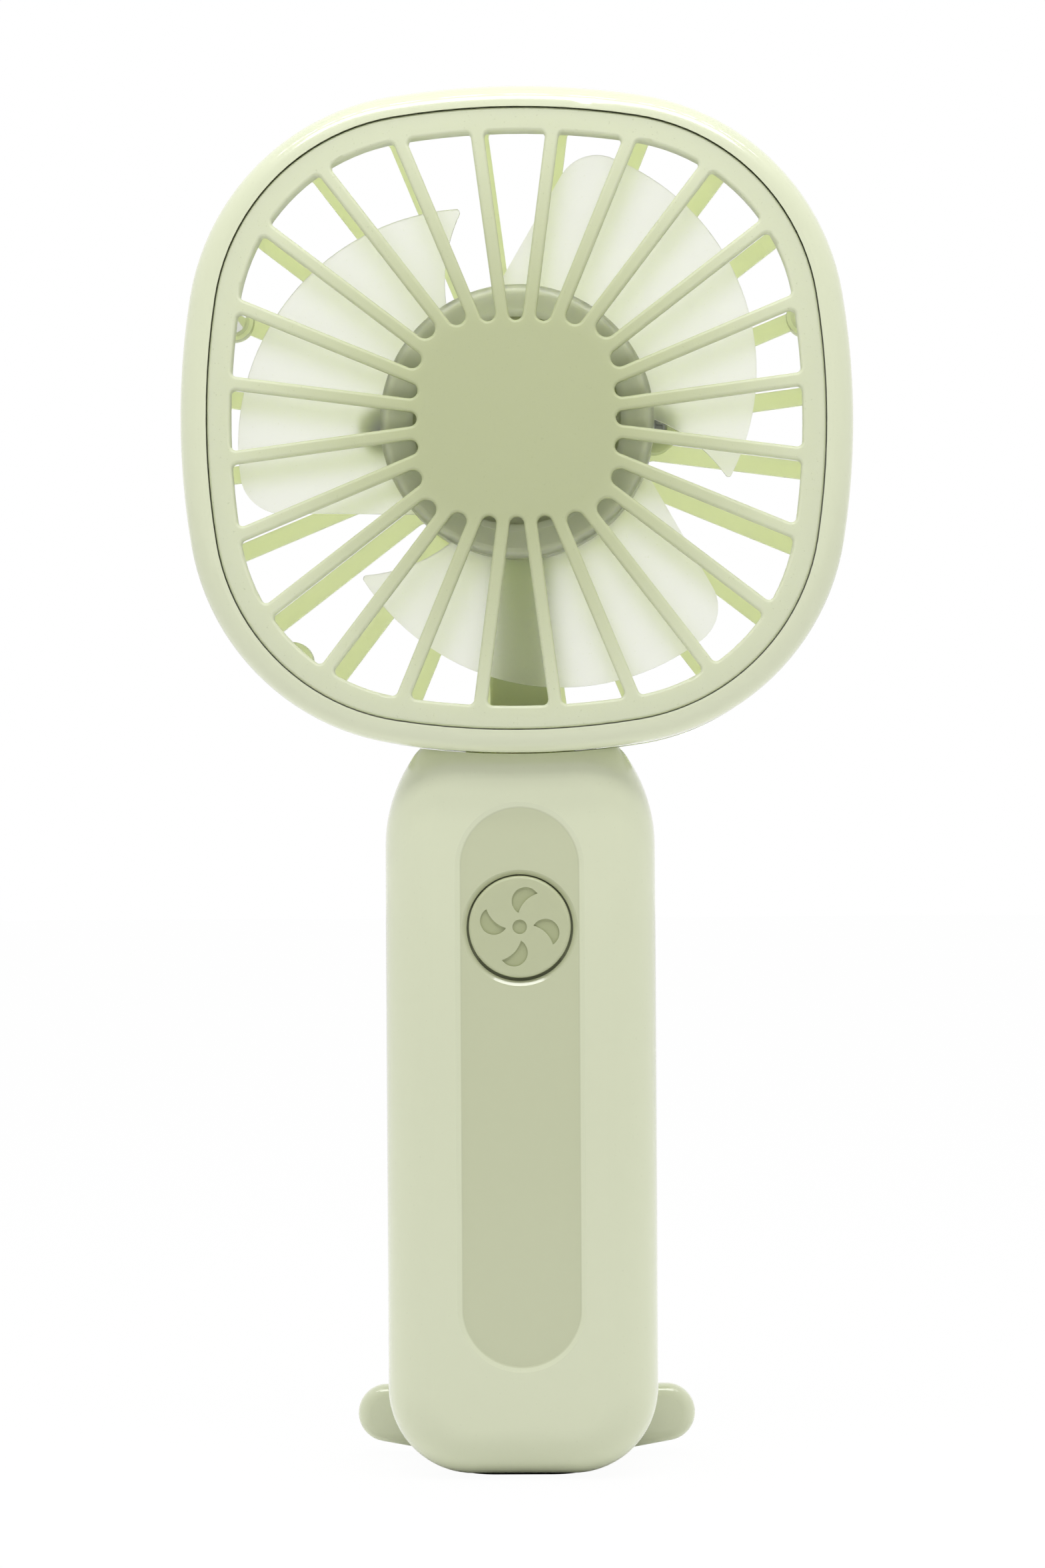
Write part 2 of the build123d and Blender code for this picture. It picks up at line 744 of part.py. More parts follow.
def make_core():
    body = rod(0, head_z, 3.2, core_front_y, core_back_y)
    for angle in pole_angles:
        arm = block((0, core_r - 1), (core_front_y, core_back_y),
                    (head_z - pole_half_width, head_z + pole_half_width))
        body += turned(arm, angle)
        body += ring_sector(core_r - shoe_thick, core_r, angle, 98, core_front_y, core_back_y)
    return body - rod(0, head_z, shaft_r, core_front_y - 1, core_back_y + 1)


def make_coils():
    coils = []
    half = pole_half_width + 1.7
    within_shoes = rod(0, head_z, core_r - shoe_thick - 0.1, core_front_y - 2, core_back_y + 2)
    for angle in pole_angles:
        coil = block(coil_range, (core_front_y - 1.2, core_back_y + 1.2),
                     (head_z - half, head_z + half))
        coil = fillet(coil.edges().filter_by(Axis.X), 1.0)
        gap = 0.05
        coil -= block((0, core_r), (core_front_y - gap, core_back_y + gap),
                      (head_z - pole_half_width - gap, head_z + pole_half_width + gap))
        coils.append(turned(coil, angle) & within_shoes)
    return coils


commutator_y = (core_back_y + 0.2, core_back_y + 0.2 + commutator_length)


def make_commutator():
    body = tube(0, head_z, commutator_r, shaft_r, *commutator_y)
    for angle in (30, 150, 270):
        slit = block((commutator_r - 0.5, commutator_r + 1),
                     (commutator_y[0] - 1, commutator_y[1] + 1), (head_z - 0.15, head_z + 0.15))
        body -= turned(slit, angle)
    return body


def make_brushes():
    brushes = []
    for side in (-1, 1):
        near, far = side * (commutator_r + 0.05), side * (commutator_r + 0.35)
        brushes.append(block((min(near, far), max(near, far)),
                             (commutator_y[1] - 0.3, end_cap_front_y),
                             (head_z - 1.5, head_z + 6.5)))
    return brushes


# ---------------------------------------------------------------- impeller
blade_front_y = hub_front_y + blade_to_hub_face
blade_y = (blade_front_y, blade_front_y + blade_rise)
root_r = hub_r - hub_wall / 2


def blade_slice(angle):
    """The blade's section in the plane through the axis at an angle from its horn."""
    y = blade_y[0] + blade_rise * angle / blade_lead_angle
    near, far = root_r, blade_corner_r + 3
    x0, _, z0 = on_circle(0, head_z, near, angle)
    x1, _, z1 = on_circle(0, head_z, far, angle)
    low, high = y - blade_thick / 2, y + blade_thick / 2
    return make_face(Polyline((x0, low, z0), (x1, low, z1), (x1, high, z1), (x0, high, z0),
                              close=True))


def make_blade():
    horn = on_circle(0, head_z, horn_r, 0)
    middle = on_circle(0, head_z, blade_middle_r, blade_middle_angle)
    corner = on_circle(0, head_z, blade_corner_r, blade_corner_angle)
    trail = on_circle(0, head_z, root_r - 0.5, blade_trail_angle)
    lead = on_circle(0, head_z, root_r - 0.5, blade_lead_angle)
    hollow = on_circle(0, head_z, *blade_hollow)
    outline = make_face([
        ThreePointArc(horn, middle, corner),
        Line(corner, lead),
        Line(lead, trail),
        ThreePointArc(trail, hollow, horn),
    ])
    outline = fillet(outline.vertices().sort_by_distance(corner)[0], blade_round)
    outline = fillet(outline.vertices().sort_by_distance(horn)[0], horn_round)
    sections = [blade_slice(angle) for angle in range(-10, 131, 20)]
    return loft(sections) & slab(outline, blade_y[0] - 8, blade_y[1] + 8)


def make_impeller():
    body = rod(0, head_z, hub_r, hub_front_y, hub_back_y)
    body = fillet(body.edges().group_by(Axis.Y)[0], hub_edge_round)
    body -= rod(0, head_z, hub_r - hub_wall, hub_front_y + hub_wall, hub_back_y + 1)
    body += tube(0, head_z, hub_ring_r + hub_ring_width / 2, hub_ring_r - hub_ring_width / 2,
                 hub_front_y - hub_ring_height, hub_front_y + 0.5)
    boss_back_y = hub_back_y - 1
    body += rod(0, head_z, hub_boss_r, hub_front_y + 0.5, boss_back_y)
    rib_y = (hub_front_y + 0.5, hub_front_y + 0.5 + hub_rib_depth)
    for index in range(hub_rib_count):
        rib = block((hub_boss_r - 1, hub_r - 0.5), rib_y,
                    (head_z - hub_rib_thick / 2, head_z + hub_rib_thick / 2))
        body += turned(rib, index * 360 / hub_rib_count)
    for index in range(blade_count):
        blade = make_blade()
        body += turned(blade, first_horn_angle + index * 360 / blade_count)
    return body - rod(0, head_z, shaft_r + 0.01, hub_front_y + 2, boss_back_y + 1)


# ---------------------------------------------------------------- handle
half_width = handle_width / 2
inner_front_y = handle_front_y + handle_wall
inner_rear_y = handle_back_y - handle_wall
inner_side_x = half_width - handle_wall
pillar_low_x = inner_side_x - boss_r - 1.75
pillar_high_z = board_bottom + board_height + boss_r + 1.2
handle_pillars = [
    (side * x, z) for side in (-1, 1)
    for x, z in ((pillar_low_x, pillar_low_z), (pillar_high_x, pillar_high_z))
]
handle_pillar_end_y = inner_rear_y - 2.0
rear_seat_y = handle_back_y - screw_head_height - 0.4
stub_back_y = stub_y + stub_depth / 2
board_back_y = board_y + board_thick
board_post_heights = (board_post_inset, board_height - board_post_inset)
board_posts = [
    (side * board_post_x, board_bottom + up) for side in (-1, 1) for up in board_post_heights]
board_screw_places = [post for post in board_posts if post[1] < usb_z - 5]
cradle_heights = (cell_bottom_z + cell_length * 0.27, cell_bottom_z + cell_length * 0.77)
clamp_z = (stub_bottom_z + 2.8, stub_bottom_z + 2.8 + cradle_thick)
usb_mouth_x = half_width - 0.75
usb_y = board_back_y + usb_height / 2

# Stand
leg_out_y = handle_back_y - stand_sink
leg_in_y = leg_out_y - stand_thick
pivot_y = leg_out_y - stand_barrel_r
recess_half = stand_width / 2 + stand_clearance
recess_floor_y = leg_in_y - stand_clearance
pocket_floor_y = pivot_y - stand_barrel_r - stand_clearance - 0.25
pocket_top_z = stand_pivot_z + sqrt(stand_heel ** 2 + stand_barrel_r ** 2) + stand_clearance
pocket_bottom_z = stand_pivot_z - stand_barrel_r - stand_clearance - 0.5


def bar(y, z, r, half_length):
    """A round bar along X, centred on the handle."""
    return Pos(0, y, z) * Rot(0, 90, 0) * Cylinder(r, 2 * half_length)


def handle_cavity():
    cavity = slab(handle_outline(handle_wall), inner_front_y, inner_rear_y)
    return round_rims(cavity, handle_edge_r - handle_wall)


def handle_body():
    return round_rims(slab(handle_outline(), handle_front_y, handle_back_y), handle_edge_r)


def front_side(y=0.0):
    return block((-100, 100), (-100, y), (-100, 300))


def rear_side(y=0.0):
    return block((-100, 100), (y, 100), (-100, 300))


def head_space():
    """The head's outline with a small gap, which cuts the top of the handle."""
    return slab(head_outline(-neck_gap), face_y - 5, back_y + 5)


def stub_space():
    half = stub_width / 2 + fit
    return block((-half, half), (stub_y - stub_depth / 2 - fit, stub_back_y + fit),
                 (stub_bottom_z - 5, head_bottom_z + 5))


def cell_space():
    return Pos(0, cell_y, 50) * Cylinder(cell_r + cell_clearance, 160)


def pad_face(grow=0.0):
    return RectangleRounded(pad_width + 2 * grow, pad_depth + 2 * grow, pad_corner_r + grow)


def pad_space():
    depth = pad_thick - pad_proud + 0.05
    return Pos(0, 0, pad_proud - 1) * extrude(pad_face(fit), amount=depth + 1)


def inside_ribs(y_range, clamp_y):
    """Cradles for the cell and the clamp round the neck stub, for one half."""
    half = cradle_width / 2
    ribs = block((-inner_side_x, inner_side_x), clamp_y, clamp_z) - stub_space()
    for z in cradle_heights:
        rib = block((-half, half), y_range, (z, z + cradle_thick))
        ribs += rib - cell_space()
    return ribs & handle_cavity()


def stadium(width, length, bottom):
    """A front-view face with round ends, standing on a height."""
    half = width / 2
    low, high = bottom + half, bottom + length - half
    return make_face([
        arc(0, low, half, 180, 360),
        Line(at(half, low), at(half, high)),
        arc(0, high, half, 0, 180),
        Line(at(-half, high), at(-half, low)),
    ])


def panel_recess():
    floor = stadium(panel_width - 2 * panel_bevel, panel_length - 2 * panel_bevel,
                    panel_bottom + panel_bevel)
    mouth = stadium(panel_width, panel_length, panel_bottom)
    recess = loft([Pos(0, handle_front_y, 0) * mouth,
                   Pos(0, handle_front_y + panel_sink, 0) * floor])
    return recess + slab(mouth, handle_front_y - 1, handle_front_y)


panel_floor_y = handle_front_y + panel_sink


def button_hole():
    hole_r = button_r + button_gap
    hole_z = button_z - button_lift
    hole = rod(0, hole_z, hole_r, handle_front_y - 1, inner_front_y + 1)
    depth = button_bevel * 0.6
    bevel = Cone(hole_r + button_bevel, hole_r, depth)
    placed = Pos(0, panel_floor_y + depth / 2, hole_z) * Rot(-90, 0, 0) * bevel
    return hole + placed


def usb_opening():
    tall = usb_width + 0.5
    low = usb_z - tall / 2
    face = SlotOverall(tall, usb_height + 0.5)
    solid = extrude(face, amount=6)
    return Pos(usb_mouth_x - 3, usb_y, low + tall / 2) * Rot(0, 90, 0) * solid


def make_handle_front():
    body = (handle_body() - handle_cavity()) & front_side()
    lip = slab(handle_outline(handle_wall - lip_thick), -1.0, lip_height)
    body += lip - slab(handle_outline(handle_wall), -2.0, lip_height + 1)
    for x, z in handle_pillars:
        body += rod(x, z, boss_r, inner_front_y - 0.5, handle_pillar_end_y)
        body -= rod(x, z, thread_r + pilot_clearance,
                    rear_seat_y - handle_screw_length - 1, handle_pillar_end_y + 1)
    for x, z in board_posts:
        body += rod(x, z, boss_r - 0.1, inner_front_y - 0.5, board_y)
    for x, z in board_screw_places:
        body -= rod(x, z, thread_r + pilot_clearance, inner_front_y + 1.2, board_y + 1)
    body += inside_ribs((inner_front_y - 1, cell_y - 3), (inner_front_y - 1, -fit / 2))
    body -= panel_recess()
    body -= button_hole()
    body -= usb_opening()
    body -= head_space()
    return body - pad_space()


def stand_walls():
    """The walls round the stand's recess, pocket and pin, inside the rear shell."""
    outer_half = recess_half + recess_wall
    cheek_out = recess_half + cheek_width
    walls = block((-outer_half, outer_half), (recess_floor_y - recess_wall, handle_back_y),
                  (0, pocket_top_z + recess_wall))
    walls += block((-outer_half, outer_half), (pocket_floor_y - recess_wall, handle_back_y),
                   (pocket_bottom_z - recess_wall, pocket_top_z + recess_wall))
    walls += block((-cheek_out, cheek_out), (pivot_y - 2.6, handle_back_y),
                   (stand_pivot_z - cheek_half_height, stand_pivot_z + cheek_half_height))
    return walls & handle_body()


def stand_space():
    space = block((-recess_half, recess_half), (recess_floor_y, handle_back_y + 5),
                  (-1, stand_pivot_z))
    space += block((-recess_half, recess_half), (pocket_floor_y, handle_back_y + 5),
                   (pocket_bottom_z, pocket_top_z))
    return space + bar(pivot_y, stand_pivot_z, pin_r + 0.01, recess_half + cheek_width + 1)


def make_handle_rear():
    body = (handle_body() - handle_cavity()) & rear_side()
    body -= slab(handle_outline(handle_wall - lip_thick - fit), -1.0, lip_height + fit)
    body += inside_ribs((cell_y + 4, inner_rear_y + 1), (lip_height + 2 * fit, inner_rear_y + 1))
    for x, z in handle_pillars:
        body -= rod(x, z, boss_r + pillar_gap, 0, handle_pillar_end_y + fit)
    shell = handle_body()
    for x, z in handle_pillars:
        body += rod(x, z, boss_r + boss_skirt, handle_pillar_end_y + fit, handle_back_y) & shell
        body -= rod(x, z, thread_r + shank_clearance, handle_pillar_end_y - 1, handle_back_y)
        body -= rod(x, z, screw_head_r + screw_head_gap, rear_seat_y, handle_back_y + 1)
    for side in (-1, 1):
        x = side * neck_screw_x
        body += rod(x, neck_screw_z, boss_r, stub_back_y + fit, handle_back_y) & shell
        body -= rod(x, neck_screw_z, thread_r + shank_clearance, stub_back_y, handle_back_y)
        body -= rod(x, neck_screw_z, screw_head_r + screw_head_gap, rear_seat_y, handle_back_y + 1)
    body += stand_walls()
    body -= stand_space()
    body -= head_space()
    return body - pad_space()


def make_base_pad():
    body = extrude(pad_face(), amount=pad_thick)
    return fillet(body.edges().group_by(Axis.Z)[0], pad_edge_round)


# ---------------------------------------------------------------- button and board
button_front_y = panel_floor_y - button_proud
flange_y = (inner_front_y + 0.05, inner_front_y + 0.05 + button_flange_thick)
switch_front_y = board_y - switch_height
plunger_front_y = switch_front_y - plunger_proud
dome_y = (board_y - 0.75, board_y - 0.5)
touch_gap = 0.02


def petal(turn):
    """One petal of the pictogram as a face, turned about the button's centre."""
    def place(point):
        x, z = point
        c, s = cos(radians(turn)), sin(radians(turn))
        return at(x * c - z * s, button_z + x * s + z * c)

    return make_face([
        ThreePointArc(place(petal_root), place(petal_belly), place(petal_tip)),
        ThreePointArc(place(petal_tip), place(petal_waist), place(petal_root)),
    ])


def make_button_cap():
    body = rod(0, button_z, button_r, button_front_y, flange_y[1])
    body = fillet(body.edges().group_by(Axis.Y)[0], button_round)
    body += rod(0, button_z, button_r + button_flange, *flange_y)
    body += rod(0, button_z, plunger_r - 0.15, flange_y[0], plunger_front_y - touch_gap)
    for turn in (0, 90, 180, 270):
        body -= slab(petal(turn), button_front_y - 1, button_front_y + engraving_depth)
    return body - rod(0, button_z, button_dot_r, button_front_y - 1,
                      button_front_y + engraving_depth)


def make_switch_body():
    half = switch_size / 2
    body = block((-half, half), (switch_front_y, board_y), (button_z - half, button_z + half))
    body = fillet(body.edges().filter_by(Axis.Y), 0.4)
    return body - rod(0, button_z, plunger_r + fit, switch_front_y - 1, dome_y[1])


def make_switch_plunger():
    body = rod(0, button_z, plunger_r, plunger_front_y, dome_y[0] - button_travel - touch_gap)
    return fillet(body.edges().group_by(Axis.Y)[0], 0.3)


def make_switch_dome():
    return rod(0, button_z, plunger_r, *dome_y)


def make_circuit_board():
    half = board_width / 2
    body = block((-half, half), (board_y, board_back_y),
                 (board_bottom, board_bottom + board_height))
    body = fillet(body.edges().filter_by(Axis.Y), board_corner_r)
    for x, z in board_screw_places:
        body -= rod(x, z, thread_r + shank_clearance, board_y - 1, board_back_y + 1)
    return body


def make_board_parts():
    """Chips and passive parts on the board's back: centre x, height, width, tall, thick."""
    places = [
        (-2.0, 9.0, 5.0, 6.0, 1.5),
        (-9.5, 9.6, 5.0, 5.0, 2.4),
        (4.0, 7.0, 2.0, 1.25, 1.1),
        (4.0, 10.0, 2.0, 1.25, 1.1),
        (7.4, 9.6, 2.0, 1.25, 0.9),
        (7.4, 12.6, 2.0, 1.25, 0.9),
        (-9.5, 14.6, 2.0, 1.25, 0.9),
    ]
    parts = []
    for x, up, width, tall, thick in places:
        z = board_bottom + up
        parts.append(block((x - width / 2, x + width / 2), (board_back_y, board_back_y + thick),
                           (z - tall / 2, z + tall / 2)))
    return parts


def usb_slot(grow):
    return SlotOverall(usb_width + 2 * grow, usb_height + 2 * grow)


def along_socket(face, start, length):
    """A face made solid along the socket, from a distance behind its mouth."""
    solid = extrude(face, amount=length)
    return Pos(usb_mouth_x - start - length, usb_y, usb_z) * Rot(0, 90, 0) * solid


def make_usb_shell():
    body = along_socket(usb_slot(0), 0, usb_length)
    return body - along_socket(usb_slot(-usb_skin), -1, usb_length + 0.5)


def make_usb_tongue():
    back = along_socket(usb_slot(-usb_skin - touch_gap), usb_length - 2.0, 1.4)
    tongue = along_socket(Rectangle(6.7, 0.7), 1.0, usb_length - 2.0)
    return back + tongue


# ---------------------------------------------------------------- battery
tab_side_x = cell_r + 0.05


def make_battery_cell():
    body = Pos(0, cell_y, cell_bottom_z + cell_length / 2) * Cylinder(cell_r, cell_length)
    body = fillet(body.edges().filter_by(GeomType.CIRCLE), 0.6)
    groove = Pos(0, cell_y, cell_top_z - 3.0) * Torus(cell_r + 0.3, 0.8)
    return body - groove


def make_battery_cap():
    height = cell_cap_height
    body = Pos(0, cell_y, cell_top_z + height / 2) * Cylinder(cell_cap_r, height)
    return fillet(body.edges().group_by(Axis.Z)[-1], 0.2)


def make_battery_tabs():
    y_range = (cell_y - tab_width / 2, cell_y + tab_width / 2)
    low = block((-3, tab_side_x + tab_thick), y_range, (cell_bottom_z - tab_thick, cell_bottom_z))
    low += block((tab_side_x, tab_side_x + tab_thick), y_range,
                 (cell_bottom_z - tab_thick, cell_bottom_z + tab_height))
    high = block((-8, 3), y_range, (cap_top_z, cap_top_z + tab_thick))
    return [low, high]


def make_battery_foam():
    foam_low = pad_proud + handle_wall + 0.02
    disc_r = handle_back_y - handle_edge_r + cell_y
    disc = Pos(0, cell_y, foam_low + foam_thick / 2) * Cylinder(disc_r, foam_thick)
    front_gap = (inner_front_y + 0.05, cell_y - cell_r - 0.05)
    strip = block((-4, 4), front_gap,
                  (cradle_heights[0] + cradle_thick + 1, cradle_heights[1] - 1))
    return [disc, strip]


# ---------------------------------------------------------------- leads
def cell_lead_low():
    """From the lower tab up beside the cell to the board."""
    x = tab_side_x + tab_thick + lead_r
    y = board_back_y + lead_r
    points = [
        (x, cell_y, cell_bottom_z + tab_height - 4),
        (x, cell_y, cell_bottom_z + cell_length * 0.45),
        (x - 0.1, cell_y - 0.1, cell_top_z - 4),
        (x - 0.4, cell_y - 0.4, cap_top_z),
        (x - 1.4, y, board_bottom + 2.0),
        (x - 1.6, y, board_bottom + 6.0),
    ]
    return wire("battery_lead_black", points, lead_r)


def cell_lead_high():
    """From the upper tab to the board."""
    z = cap_top_z + tab_thick + lead_r
    y = board_back_y + lead_r
    points = [(-4, cell_y, z), (-7.6, cell_y, z), (-8.7, y, board_bottom + 1.4),
              (-8.7, y, board_bottom + 5)]
    return wire("battery_lead_red", points, lead_r)


def motor_lead(side, name):
    """From a motor terminal down the duct, through the neck, to the board."""
    x, y = side * terminal_offset, terminal_y[0] - lead_r
    board_lead_y = board_back_y + lead_r
    top, neck = head_z - motor_r, head_bottom_z
    duct_end = head_bottom_z + head_wall + duct_cover_lift + 3.2
    points = [
        (x, y, top - 0.2),
        (x, y, top - (top - duct_end) * 0.28),
        (side * 1.8, y - 0.2, top - (top - duct_end) * 0.64),
        (side * 1.5, y, duct_end - 0.5),
        (side * 1.5, y - 0.75, duct_end - 3.8),
        (side * 1.5, y - 4.1, neck + 4.0),
        (side * 1.5, y - 8.3, neck + 2.4),
        (side * 1.6, y - 11.0, neck - 2.2),
        (side * 1.9, y - 12.4, neck - 7.4),
        (side * 2.6, board_lead_y + 3.2, neck - 11.2),
        (side * 3.0, board_lead_y, neck - 14.5),
        (side * 3.0, board_lead_y, neck - 18.2),
    ]
    return wire(name, points, lead_r)


# ---------------------------------------------------------------- stand
def foot_face():
    """The stand's foot from the front: two round lobes and a lower middle."""
    lobe_r = foot_height / 2
    lobe_x, lobe_z = foot_width / 2 - lobe_r, foot_bottom + lobe_r
    flat_x = foot_width / 4
    dx, dz = lobe_x - flat_x, lobe_z - foot_centre_bottom
    slope = degrees(atan2(dz, dx) - asin(lobe_r / sqrt(dx ** 2 + dz ** 2)))
    right_end = on_circle(lobe_x, lobe_z, lobe_r, slope - 90)
    left_end = on_circle(-lobe_x, lobe_z, lobe_r, 270 - slope)
    top = lobe_z + lobe_r
    face = make_face([
        arc(lobe_x, lobe_z, lobe_r, slope - 90, 90),
        Line(at(lobe_x, top), at(-lobe_x, top)),
        arc(-lobe_x, lobe_z, lobe_r, 90, 270 - slope),
        Line(left_end, at(-flat_x, foot_centre_bottom)),
        Line(at(-flat_x, foot_centre_bottom), at(flat_x, foot_centre_bottom)),
        Line(at(flat_x, foot_centre_bottom), right_end),
    ])
    corners = face.vertices().group_by(Axis.Z)[0]
    return fillet(corners, foot_flat_round)


def make_stand():
    foot_y = (handle_back_y + foot_gap, handle_back_y + foot_gap + foot_thick)
    body = round_rims(slab(foot_face(), *foot_y), foot_round)
    half = stand_width / 2
    foot_top = foot_bottom + foot_height
    body += block((-half, half), (leg_in_y, foot_y[0] + foot_thick / 2),
                  (foot_centre_bottom + foot_round, foot_top - foot_round))
    body += block((-half, half), (leg_in_y, leg_out_y), (foot_bottom, stand_pivot_z))
    body += bar(pivot_y, stand_pivot_z, stand_barrel_r, half)
    body += block((-half, half), (leg_out_y - barrel_wrap, leg_out_y),
                  (stand_pivot_z, stand_pivot_z + stand_heel))
    return body - bar(pivot_y, stand_pivot_z, pin_r + pin_clearance, half + 1)


def make_stand_pin():
    return bar(pivot_y, stand_pivot_z, pin_r, recess_half + cheek_width - 0.05)


# ---------------------------------------------------------------- write the nodes
save("front_grille", make_front_grille())
save("front_bezel", make_front_bezel())
save("rear_housing", make_rear_housing())
save("rear_grille", make_rear_grille())
save("motor_mount", make_motor_mount())
save("motor_cover", make_motor_cover())
save("wire_cover", make_wire_cover())
save("motor_pad", tube(0, head_z, motor_r - 1, bush_r + 1, motor_back_y, inner_back_y))
save("motor_can", make_motor_can())
save("motor_end_cap", make_end_cap())
save("motor_terminals", *terminals())
save("motor_bushes", *make_bushes())
save("motor_magnets", *make_magnets())
save("motor_brushes", *make_brushes())
save("motor_shaft", rod(0, head_z, shaft_r, hub_front_y + 2.2, motor_back_y - 0.4))
save("rotor_core", make_core())
save("rotor_coils", *make_coils())
save("commutator", make_commutator())
save("impeller", make_impeller())
save("motor_cover_screws", *[
    screw(x, z, cover_front_y, cover_screw_length, 1) for x, z in motor_screw_places()])
save("head_screws", *[
    screw(x, z, head_screw_seat_y, head_screw_length, -1) for x, z in head_bosses])
save("motor_lead_red", motor_lead(-1, "motor_lead_red"))
save("motor_lead_black", motor_lead(1, "motor_lead_black"))

save("handle_front", make_handle_front())
save("handle_rear", make_handle_rear())
save("base_pad", make_base_pad())
save("handle_screws", *[
    screw(x, z, rear_seat_y, handle_screw_length, -1) for x, z in handle_pillars])
save("neck_screws", *[
    screw(side * neck_screw_x, neck_screw_z, rear_seat_y, neck_screw_length, -1)
    for side in (-1, 1)])
save("button_cap", make_button_cap())
save("switch_body", make_switch_body())
save("switch_plunger", make_switch_plunger())
save("switch_dome", make_switch_dome())
save("circuit_board", make_circuit_board())
save("board_parts", *make_board_parts())
save("board_screws", *[
    screw(x, z, board_back_y, board_screw_length, -1) for x, z in board_screw_places])
save("usb_shell", make_usb_shell())
save("usb_tongue", make_usb_tongue())
save("battery_cell", make_battery_cell())
save("battery_cap", make_battery_cap())
save("battery_tabs", *make_battery_tabs())
save("battery_foam", *make_battery_foam())
save("battery_lead_red", cell_lead_high())
save("battery_lead_black", cell_lead_low())
save("stand", make_stand())
save("stand_pin", make_stand_pin())
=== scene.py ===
import json
from math import cos, radians, sin

import bpy
from mathutils import Matrix, Vector


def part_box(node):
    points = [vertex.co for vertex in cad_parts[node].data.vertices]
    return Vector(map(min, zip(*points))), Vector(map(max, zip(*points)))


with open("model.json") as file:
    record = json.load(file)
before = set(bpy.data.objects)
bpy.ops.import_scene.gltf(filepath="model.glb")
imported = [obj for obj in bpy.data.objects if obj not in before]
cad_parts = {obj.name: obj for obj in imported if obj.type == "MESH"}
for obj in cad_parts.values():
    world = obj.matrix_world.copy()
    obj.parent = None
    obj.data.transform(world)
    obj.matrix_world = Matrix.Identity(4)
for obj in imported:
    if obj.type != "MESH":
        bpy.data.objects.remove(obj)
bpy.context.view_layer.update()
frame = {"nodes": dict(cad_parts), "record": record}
nodes = frame["nodes"]

MM = 0.001


# ---------------------------------------------------------------- camera
PHOTO_HEIGHT = 2352          # pixels
PIXELS_PER_MM = 10.4         # at the face of the front grille
FACE_DISTANCE = 710 * MM     # from the lens to that face
FOCAL_PX = PIXELS_PER_MM * FACE_DISTANCE / MM
SENSOR_HEIGHT = 36.0         # of a full-frame camera held upright, in millimetres
YAW = radians(1.07)          # the depth axis drifts this far to the right
ROLL = radians(0.35)         # the fan's top leans this far to the left
AIM_X, AIM_Z = 0.6 * MM, 101.2 * MM      # what the frame's middle shows


def make_camera():
    face_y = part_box("front_grille")[0].y
    forward = Vector((-sin(YAW), cos(YAW), 0))
    level_right = Vector((cos(YAW), sin(YAW), 0))
    up = Vector((0, 0, 1))
    right = level_right * cos(ROLL) - up * sin(ROLL)
    tilted_up = level_right * sin(ROLL) + up * cos(ROLL)
    place = Vector((AIM_X, face_y, AIM_Z)) - forward * FACE_DISTANCE
    data = bpy.data.cameras.new("camera")
    data.sensor_fit = "VERTICAL"
    data.sensor_height = SENSOR_HEIGHT
    data.lens = SENSOR_HEIGHT * FOCAL_PX / PHOTO_HEIGHT
    data.clip_start = 0.01
    data.clip_end = 20
    camera = bpy.data.objects.new("camera", data)
    turn = Matrix((right, tilted_up, -forward)).transposed().to_4x4()
    camera.matrix_world = Matrix.Translation(place) @ turn
    bpy.context.scene.collection.objects.link(camera)
    bpy.context.scene.camera = camera


# ---------------------------------------------------------------- materials
# Noise scales are in cells per metre, and ranges are the part of a noise's values that counts
PLASTIC_IOR = 1.49
COAT_ROUGHNESS = 0.04
GLOW_RADIUS = (1.0, 1.0, 0.7)     # red and green spread further in the plastic than blue
CLOUD_SCALE, CLOUD_RANGE, CLOUD_SWING = 22, (0.2, 0.8), 0.008
SPECKLE_SCALE, SPECKLE_RANGE = 2600, (0.70, 0.78)
SPECKLE_SHARE, SPECKLE_TONE = 0.3, 0.84
POLISH_SCALE, POLISH_RANGE = 60, (0.2, 0.8)
DUSK_SCALE, DUSK_TONE = 420, 0.88             # the darker patches of bare steel
SCRATCH_SCALE, SCRATCH_DEPTH = 2600, 0.01 * MM
WEAR_SCALE, METAL_RANGE = 900, (0.3, 0.7)


def colour(red, green, blue):
    """An sRGB colour, 0 to 255, as linear RGBA."""
    def linear(value):
        value /= 255
        return value / 12.92 if value <= 0.04045 else ((value + 0.055) / 1.055) ** 2.4
    return (linear(red), linear(green), linear(blue), 1.0)


